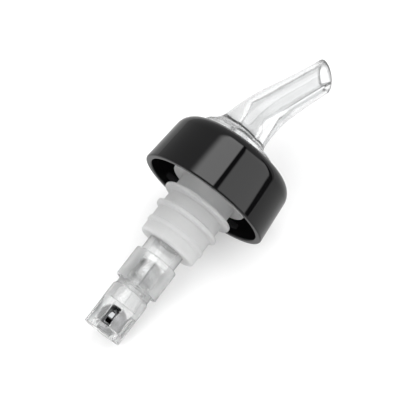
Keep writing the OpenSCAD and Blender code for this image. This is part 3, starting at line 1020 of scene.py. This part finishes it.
class Horn:
    """The leaning horn: its centre line and the rings of its skin, its passage and its vent."""

    foot_blend, septum_blend, vent_blend = 0.7 * MM, 0.35 * MM, 0.3 * MM

    def __init__(self, sizes):
        self.sizes = sizes
        self.foot_low = BOX["collar"][1].z
        self.foot_top = self.foot_low + sizes.foot_t
        self.joint = BOX["pour_tube"][1].z
        self.bend_len = sizes.bend_r * sizes.lean
        self.length = self.bend_len + sizes.tip_len
        self.along = Vector((math.sin(sizes.lean), 0, math.cos(sizes.lean)))
        self.across = self.across_at(sizes.lean)
        self.side = Vector((0, 1, 0))
        self.lip_room = 2 * sizes.tip_r * math.tan(sizes.lip_slant)
        self.passage_top = self.centre(self.length) + sizes.passage_shift * self.across
        self.vent_mid = (sizes.septum_at + sizes.septum_t + sizes.passage_r) / 2

    def across_at(self, tilt):
        """Direction to the front, square to a centre line of that lean."""
        return Vector((math.cos(tilt), 0, -math.sin(tilt)))

    def tilt(self, s):
        """Lean of the centre line at length s."""
        return min(s, self.bend_len) / self.sizes.bend_r

    def centre(self, s):
        """Point of the centre line at length s."""
        bend_r, tilt = self.sizes.bend_r, self.tilt(s)
        straight = max(s - self.bend_len, 0)
        return Vector((
            bend_r * (1 - math.cos(tilt)) - self.sizes.horn_setback + straight * math.sin(tilt),
            0,
            self.foot_top + bend_r * math.sin(tilt) + straight * math.cos(tilt),
        ))

    def radius(self, s):
        """Radius of the horn at length s, flare included."""
        tip_r, flare_r = self.sizes.tip_r, self.sizes.flare_r
        flare = 0.0
        if s < flare_r:
            flare = flare_r - math.sqrt(flare_r ** 2 - (flare_r - s) ** 2)
        taper = max(1 - s / self.length, 0) ** self.sizes.taper
        return tip_r + (self.sizes.root_r - tip_r) * taper + flare

    def foot_reach(self, x, tilt, t):
        """Distance from a ring's centre to the edge of the foot in direction t."""
        a, b = math.cos(t) * math.cos(tilt), math.sin(t)
        c = x + self.sizes.foot_shift
        q = a * a + b * b
        return (-c * a + math.sqrt(c * c * a * a - q * (c * c - self.sizes.foot_r ** 2))) / q

    def septum_outline(self, t):
        """Distance from the passage's middle to its wall, flat at the septum."""
        r, c = self.sizes.passage_r, math.cos(t)
        if c > 0:
            r = smooth_min(r, self.sizes.septum_at / c, self.septum_blend)
        return r

    def vent_outline(self, t):
        """Distance from the vent's middle to its wall, flat at the septum."""
        r, m, c = self.sizes.passage_r, self.vent_mid, math.cos(t)
        reach = -m * c + math.sqrt(r * r - m * m * (1 - c * c))
        if c < 0:
            gap = m - self.sizes.septum_at - self.sizes.septum_t
            reach = smooth_min(reach, gap / -c, self.vent_blend)
        return reach

    def passage_point(self, p, q, down, slant=1.0):
        """Point at p across, q sideways and down from the passage's top, on the lip's slant."""
        slope = slant * math.tan(self.sizes.lip_slant)
        fall = down + slope * (p + self.sizes.passage_shift)
        return self.passage_top + p * self.across + q * self.side - fall * self.along

    def lip_ring(self, r, down):
        """Ring of the lip's rounded outer edge."""

        def place(t):
            p, q = polar(r, t)
            return self.passage_point(p - self.sizes.passage_shift, q, down)

        return ring(SIDES, place)

    def skin_ring(self, s):
        """Ring of the outer skin at length s, slanting as it nears the lip."""
        tilt, centre = self.tilt(s), self.centre(s)
        across = self.across_at(tilt)
        slant = smooth_step((s - self.length + self.lip_room) / self.lip_room)
        slope = slant * math.tan(self.sizes.lip_slant)

        def place(t):
            r = self.radius(s)
            if s < self.sizes.flare_r:
                r = smooth_min(r, self.foot_reach(centre.x, tilt, t), self.foot_blend)
            p, q = polar(r, t)
            return centre + p * across + q * self.side - slope * p * self.along

        return ring(SIDES, place)

    def bend_ring(self, height, share):
        """Ring of the liquid bore as it swells, leans and flattens into the passage."""
        centre = Vector((-self.sizes.liquid_shift, 0, height))
        across = self.across_at(self.sizes.lean * share)

        def place(t):
            r = self.sizes.liquid_r * (1 - share) + self.septum_outline(t) * share
            p, q = polar(r, t)
            return centre + p * across + q * self.side

        return ring(SIDES, place)

    def passage_ring(self, down, slant=1.0, swell=0.0):
        """Ring of the passage's wall, widened by the swell."""
        return ring(SIDES, lambda t: self.passage_point(
            *polar(self.septum_outline(t) + swell, t), down, slant
        ))

    def vent_ring(self, down, slant, narrow):
        """Ring of the vent's wall, narrowed towards the round vent bore."""

        def place(t):
            r = self.vent_outline(t) * (1 - narrow) + self.sizes.vent_r * narrow
            p, q = polar(r, t)
            return self.passage_point(self.vent_mid + p, q, down, slant)

        return ring(VENT_SIDES, place)

    def outer_rings(self):
        """Rings of the skin from the lip down to the end of the stem."""
        sizes, edge = self.sizes, self.sizes.lip_edge
        rings = [
            self.lip_ring(sizes.tip_r - inset * edge, down * edge) for down, inset in LIP_ROUNDING
        ]
        # The rings lie closer towards the foot
        below_lip, crowding = 2.5 * edge, 1.25
        for i in range(SKIN_STEPS + 1):
            share = (1 - i / SKIN_STEPS) ** crowding
            rings.append(self.skin_ring((self.length - below_lip) * share))
        foot = rings[-1]
        # A thin film of air under the foot keeps the collar's black out of the clear plastic
        film, bevel = 0.05 * MM, 0.2 * MM
        under = self.foot_low + film
        rings.append([Vector((point.x, point.y, under + bevel)) for point in foot])
        shrink = 1 - bevel / sizes.foot_r
        middle = Vector((-sizes.foot_shift, 0, under))
        rings.append([
            middle + shrink * Vector((point.x - middle.x, point.y, 0)) for point in foot
        ])
        tube, low = tube_radius(sizes), BOX["spout"][0].z
        stem = node_radius("cutoff_ball") + sizes.ball_play - sizes.press_gap
        rings += [level_ring(0.0, r, height, SIDES) for r, height in (
            (tube, under), (tube, self.joint), (stem, self.joint), (stem, low + bevel),
            (stem - bevel, low), (sizes.seat_r, low),
        )]
        return rings

    def inner_rings(self):
        """Rings of the liquid passage from the stem's end up to the lip."""
        sizes, bend_room = self.sizes, 5.2 * MM
        bend_low = self.passage_top.z - sizes.passage_len * self.along.z - bend_room
        rings = [
            level_ring(0.0, sizes.seat_r, self.joint, SIDES),
            level_ring(-sizes.liquid_shift, sizes.liquid_r, self.joint + sizes.funnel_len, SIDES),
            level_ring(-sizes.liquid_shift, sizes.liquid_r, bend_low, SIDES),
        ]
        run = (self.passage_top.x + sizes.liquid_shift) / self.along.x
        bend_len = self.passage_top.z - run * self.along.z - bend_low
        for i in range(1, BEND_STEPS + 1):
            f = i / BEND_STEPS
            rings.append(self.bend_ring(bend_low + bend_len * f, smooth_step(f)))
        edge, most_swell = 0.6 * sizes.lip_edge, 0.48 * sizes.lip_edge
        for i in range(1, PASSAGE_STEPS + 1):
            down = (run - edge) * (1 - i / PASSAGE_STEPS) + edge
            slant = smooth_step((self.lip_room - down) / self.lip_room)
            rings.append(self.passage_ring(down, slant))
        for down, swell in BORE_ROUNDING:
            rings.append(self.passage_ring(down * edge, swell=swell * most_swell))
        return rings

    def vent_rings(self):
        """Rings of the vent from the lip down to its end in the stem."""
        sizes, turn_room = self.sizes, 1.5 * MM
        top = self.passage_top + self.vent_mid * self.across
        run = (top.x - sizes.vent_shift) / self.along.x
        narrow_len = 0.2 * run
        rings = []
        for i in range(VENT_STEPS + 1):
            down = run * i / VENT_STEPS
            slant = 1 - smooth_step(down / self.lip_room)
            narrow = smooth_step((down - run + narrow_len) / narrow_len)
            rings.append(self.vent_ring(down, slant, narrow))
        turned = top.z - run * self.along.z - turn_room
        for height in (turned, self.joint + sizes.vent_end):
            rings.append(level_ring(sizes.vent_shift, sizes.vent_r, height, VENT_SIDES))
        return rings

    def frost(self, outer, inner, vent):
        """Share of the lip's roughness at each point, fading out upwards over the foot."""
        fade_top = self.foot_top + FROST_FADE * self.sizes.flare_r
        fade_len = fade_top - self.foot_low
        lip_rings, bore_lip_rings = len(LIP_ROUNDING), len(BORE_ROUNDING) + 1
        frost = [FROST_LIP] * (lip_rings * SIDES)
        for loop in outer[lip_rings:]:
            frost += [FROST_FOOT * smooth_step((fade_top - point.z) / fade_len) for point in loop]
        frost += [FROST_BORE] * ((len(inner) - bore_lip_rings) * SIDES)
        frost += [FROST_LIP] * (bore_lip_rings * SIDES + VENT_SIDES)
        frost += [FROST_BORE] * ((len(vent) - 1) * VENT_SIDES)
        return frost


class POURER_OT_spout(PieceOperator, bpy.types.Operator):
    """Builds the clear spout with its liquid passage and vent"""

    bl_idname = "pourer.spout"
    bl_label = "Spout"

    def build(self, sizes, finish):
        horn = Horn(sizes)
        outer, inner, vent = horn.outer_rings(), horn.inner_rings(), horn.vent_rings()
        verts = [point for loop in outer + inner + vent for point in loop]
        rings = len(outer) + len(inner)
        vent_first = rings * SIDES
        faces = loft_faces(rings, SIDES, False)
        faces += loft_faces(len(vent), VENT_SIDES, False, vent_first)
        faces.append(range(len(verts) - VENT_SIDES, len(verts)))
        # The lip's face lies between the skin's first ring, the passage's last and the vent's first
        loops = [
            range(SIDES), range(vent_first - SIDES, vent_first),
            range(vent_first, vent_first + VENT_SIDES),
        ]
        order = [i for loop in loops for i in loop]
        flat = [
            [Vector((verts[i].dot(horn.across), verts[i].y, 0)) for i in loop] for loop in loops
        ]
        faces += [[order[i] for i in tri] for tri in tessellate_polygon(flat)]
        frost = horn.frost(outer, inner, vent)
        obj = closed_object("spout_horn", verts, faces, SHARP_SPOUT, frost=frost)
        finish_piece(obj, clear_plastic(finish), "spout", "body")


# Stage


def direction(turn, rise):
    """Direction from the part at a turn round it and a rise over the level."""
    level = math.cos(rise)
    return Vector((math.sin(turn) * level, -math.cos(turn) * level, math.sin(rise)))


def add_camera(scene, stage):
    """Camera that sees the part lean as in the picture."""
    back = direction(stage.azimuth, stage.elevation)
    right = Vector((math.cos(stage.azimuth), math.sin(stage.azimuth), 0))
    up = back.cross(right)
    cos_roll, sin_roll = math.cos(stage.roll), math.sin(stage.roll)
    picture_right = right * cos_roll + up * sin_roll
    picture_up = up * cos_roll - right * sin_roll
    pixel = stage.distance * SENSOR_WIDTH / stage.lens / PICTURE_SIDE
    rim = Vector((0, 0, BOX["collar"][0].z))
    target = rim - pixel * (RIM_RIGHT * picture_right + RIM_UP * picture_up)
    data = bpy.data.cameras.new("camera")
    data.lens = stage.lens
    data.sensor_width = SENSOR_WIDTH
    data.clip_start = 0.01
    obj = link_object("camera", data)
    aim_object(obj, picture_right, picture_up, back, target + back * stage.distance)
    scene.camera = obj


def floor_material(stage):
    """White floor that is dimmer in reflections, so that the collar stays dark."""
    material, graph, shader = new_material("floor_white", {
        "Emission Color": (1, 1, 1, 1), "Roughness": 0.9, "Specular IOR Level": 0.1,
    })
    white, glow = stage.floor_colour, stage.floor_glow
    clouds = graph.noise(graph.object_place(), scale=30.0, detail=3.0)
    rays = graph.node("ShaderNodeLightPath").outputs
    mirrored = graph.math("SUBTRACT", rays["Is Glossy Ray"], rays["Is Transmission Ray"])
    seen = graph.tint(clouds, scaled(white, 0.985), white)
    colour = graph.tint(mirrored, seen, scaled(white, stage.floor_mirrored))
    level = graph.between(mirrored, glow, stage.floor_mirrored * glow)
    through = graph.math("MULTIPLY", rays["Is Transmission Ray"], stage.floor_through)
    graph.feed(colour, shader.inputs["Base Color"])
    graph.feed(graph.math("ADD", level, through), shader.inputs["Emission Strength"])
    # It is open when seen from below
    clear = graph.node("ShaderNodeBsdfTransparent").outputs[0]
    behind = graph.node("ShaderNodeNewGeometry").outputs["Backfacing"]
    mix = graph.node("ShaderNodeMixShader", {0: behind, 1: shader.outputs[0], 2: clear})
    graph.feed(mix.outputs[0], graph.find("OUTPUT_MATERIAL").inputs["Surface"])
    return material


def add_floor(stage):
    """Square floor under the lying part."""
    normal = Vector(stage.floor_normal).normalized()
    first = normal.orthogonal().normalized()
    second = normal.cross(first)
    middle = -normal * stage.floor_depth
    verts = [
        middle + FLOOR_HALF * (a * first + b * second)
        for a, b in ((-1, -1), (1, -1), (1, 1), (-1, 1))
    ]
    obj = mesh_object("floor", verts, [(0, 1, 2, 3)])
    obj.data.materials.append(floor_material(stage))


def glow_material():
    """Material of the softboxes and cards, which glow by their own attribute."""
    material, graph, shader = new_material("softbox_glow", {})
    strength = graph.attribute("glow")
    glow = graph.node("ShaderNodeEmission", {"Strength": strength}).outputs[0]
    graph.tree.nodes.remove(shader)
    graph.feed(glow, graph.find("OUTPUT_MATERIAL").inputs["Surface"])
    return material


def add_panel(stage, material, name, turns, rises, level=0.0, fades=None):
    """Softbox that fades at its left, right and upper edges, or without fades a dark card.

    Turns, rises and fades are angles in degrees, seen from the part.
    """
    verts, levels = [], []
    for i, k in product(range(PANEL_STEPS + 1), repeat=2):
        turn = turns[0] + (turns[1] - turns[0]) * k / PANEL_STEPS
        rise = rises[0] + (rises[1] - rises[0]) * i / PANEL_STEPS
        share = 1.0
        if fades:
            share = (
                smooth_step((turn - turns[0]) / fades[0])
                * smooth_step((turns[1] - turn) / fades[1])
                * smooth_step((rises[1] - rise) / fades[2])
            )
        levels.append(stage.reflected + (level - stage.reflected) * share)
        toward = direction(stage.azimuth + math.radians(turn), math.radians(rise))
        verts.append(LAMP_AIM + (LAMP_DISTANCE if fades else CARD_DISTANCE) * toward)
    row = PANEL_STEPS + 1
    faces = [
        (i * row + k, i * row + k + 1, (i + 1) * row + k + 1, (i + 1) * row + k)
        for i, k in product(range(PANEL_STEPS), repeat=2)
    ]
    obj = mesh_object(name, verts, faces, glow=levels)
    obj.data.materials.append(material)
    obj.visible_camera = False
    obj.visible_diffuse = False
    obj.visible_shadow = False
    obj.visible_transmission = bool(fades)


def add_lamp(stage, name, turn, rise, wide, tall, level):
    """Area lamp that lights the scene and isn't seen in reflections or through plastic."""
    data = bpy.data.lights.new(name, "AREA")
    data.shape = "RECTANGLE"
    data.size, data.size_y = wide, tall
    data.energy = level * math.pi * wide * tall
    obj = link_object(name, data)
    toward = direction(stage.azimuth + math.radians(turn), math.radians(rise))
    side = Vector((0, 0, 1)).cross(toward).normalized()
    aim_object(obj, side, toward.cross(side), toward, LAMP_AIM + toward * LAMP_DISTANCE)
    obj.visible_glossy = False
    obj.visible_transmission = False


def add_lights(stage):
    """Softboxes and dark cards for reflections, and lamps that light the scene."""
    glow = glow_material()
    left, right = stage.key, stage.fill
    add_panel(
        stage, glow, "softbox_left", turns=(-49, 0), rises=(1, 64), level=left, fades=(15, 2, 8)
    )
    add_panel(
        stage, glow, "softbox_right", turns=(6.5, 69), rises=(1, 60), level=right, fades=(2, 3, 8)
    )
    add_panel(stage, glow, "card_middle", turns=(-2, 9), rises=(1, 67))
    add_panel(stage, glow, "card_right", turns=(66, 79), rises=(1, 67))
    add_panel(stage, glow, "card_front", turns=(-50, 50), rises=(-59, -9))
    left, right = stage.softness * left, stage.softness * right
    add_lamp(stage, "light_left", turn=-23, rise=36, wide=0.49, tall=0.74, level=left)
    add_lamp(stage, "light_right", turn=41.5, rise=34, wide=0.79, tall=0.68, level=right)
    add_lamp(stage, "fill_below", turn=-10, rise=-40, wide=0.6, tall=0.6, level=stage.below)


def add_surroundings(scene, stage):
    """Plain surroundings: white where seen, dimmer where they light or are reflected."""
    world = bpy.data.worlds.new("surroundings")
    scene.world = world
    world.use_nodes = True
    graph = Graph(world.node_tree)
    rays = graph.node("ShaderNodeLightPath").outputs
    strength = stage.ambient
    for kind, level in (
        ("Is Glossy Ray", stage.reflected), ("Is Transmission Ray", stage.refracted),
        ("Is Camera Ray", 1.0),
    ):
        strength = graph.node("ShaderNodeMix", {
            "Factor": rays[kind], "A": strength, "B": level,
        }).outputs["Result"]
    background = graph.find("BACKGROUND")
    background.inputs["Color"].default_value = (1, 1, 1, 1)
    graph.feed(strength, background.inputs["Strength"])


class POURER_OT_stage(bpy.types.Operator):
    """Sets the camera, the floor, the lights and the surroundings"""

    bl_idname = "pourer.stage"
    bl_label = "Stage"
    bl_options = {"REGISTER", "UNDO"}

    def execute(self, context):
        scene, stage = context.scene, context.scene.pourer_stage
        add_camera(scene, stage)
        add_floor(stage)
        add_lights(stage)
        add_surroundings(scene, stage)
        scene.view_settings.view_transform = "Standard"
        return {"FINISHED"}


class POURER_PT_panel(bpy.types.Panel):
    """Lists the operators and settings in the sidebar"""

    bl_idname = "POURER_PT_panel"
    bl_label = "Measured Pourer"
    bl_space_type = "VIEW_3D"
    bl_region_type = "UI"
    bl_category = "Pourer"

    def draw(self, context):
        layout = self.layout
        for operator in OPERATORS:
            layout.operator(operator.bl_idname)
        for key, group in GROUPS:
            settings = getattr(context.scene, key)
            box = layout.box()
            for label in group.__annotations__:
                box.prop(settings, label)


OPERATORS = (
    POURER_OT_collar, POURER_OT_stopper, POURER_OT_tube, POURER_OT_sleeve, POURER_OT_cage,
    POURER_OT_balls, POURER_OT_spout, POURER_OT_stage,
)
GROUPS = (
    ("pourer_sizes", PourerSizes), ("pourer_finish", PourerFinish), ("pourer_stage", PourerStage),
)


def register():
    """Registers the settings, the operators and the panel."""
    for key, group in GROUPS:
        bpy.utils.register_class(group)
        setattr(bpy.types.Scene, key, bpy.props.PointerProperty(type=group))
    for operator in OPERATORS:
        bpy.utils.register_class(operator)
    bpy.utils.register_class(POURER_PT_panel)


def unregister():
    """Takes back what register did."""
    bpy.utils.unregister_class(POURER_PT_panel)
    for operator in reversed(OPERATORS):
        bpy.utils.unregister_class(operator)
    for key, group in reversed(GROUPS):
        delattr(bpy.types.Scene, key)
        bpy.utils.unregister_class(group)


def main():
    """Builds the pieces and the stage."""
    register()
    bpy.ops.pourer.collar()
    bpy.ops.pourer.stopper()
    bpy.ops.pourer.tube()
    bpy.ops.pourer.sleeve()
    bpy.ops.pourer.cage()
    bpy.ops.pourer.balls()
    bpy.ops.pourer.spout()
    bpy.ops.pourer.stage()


if __name__ == "__main__":
    main()
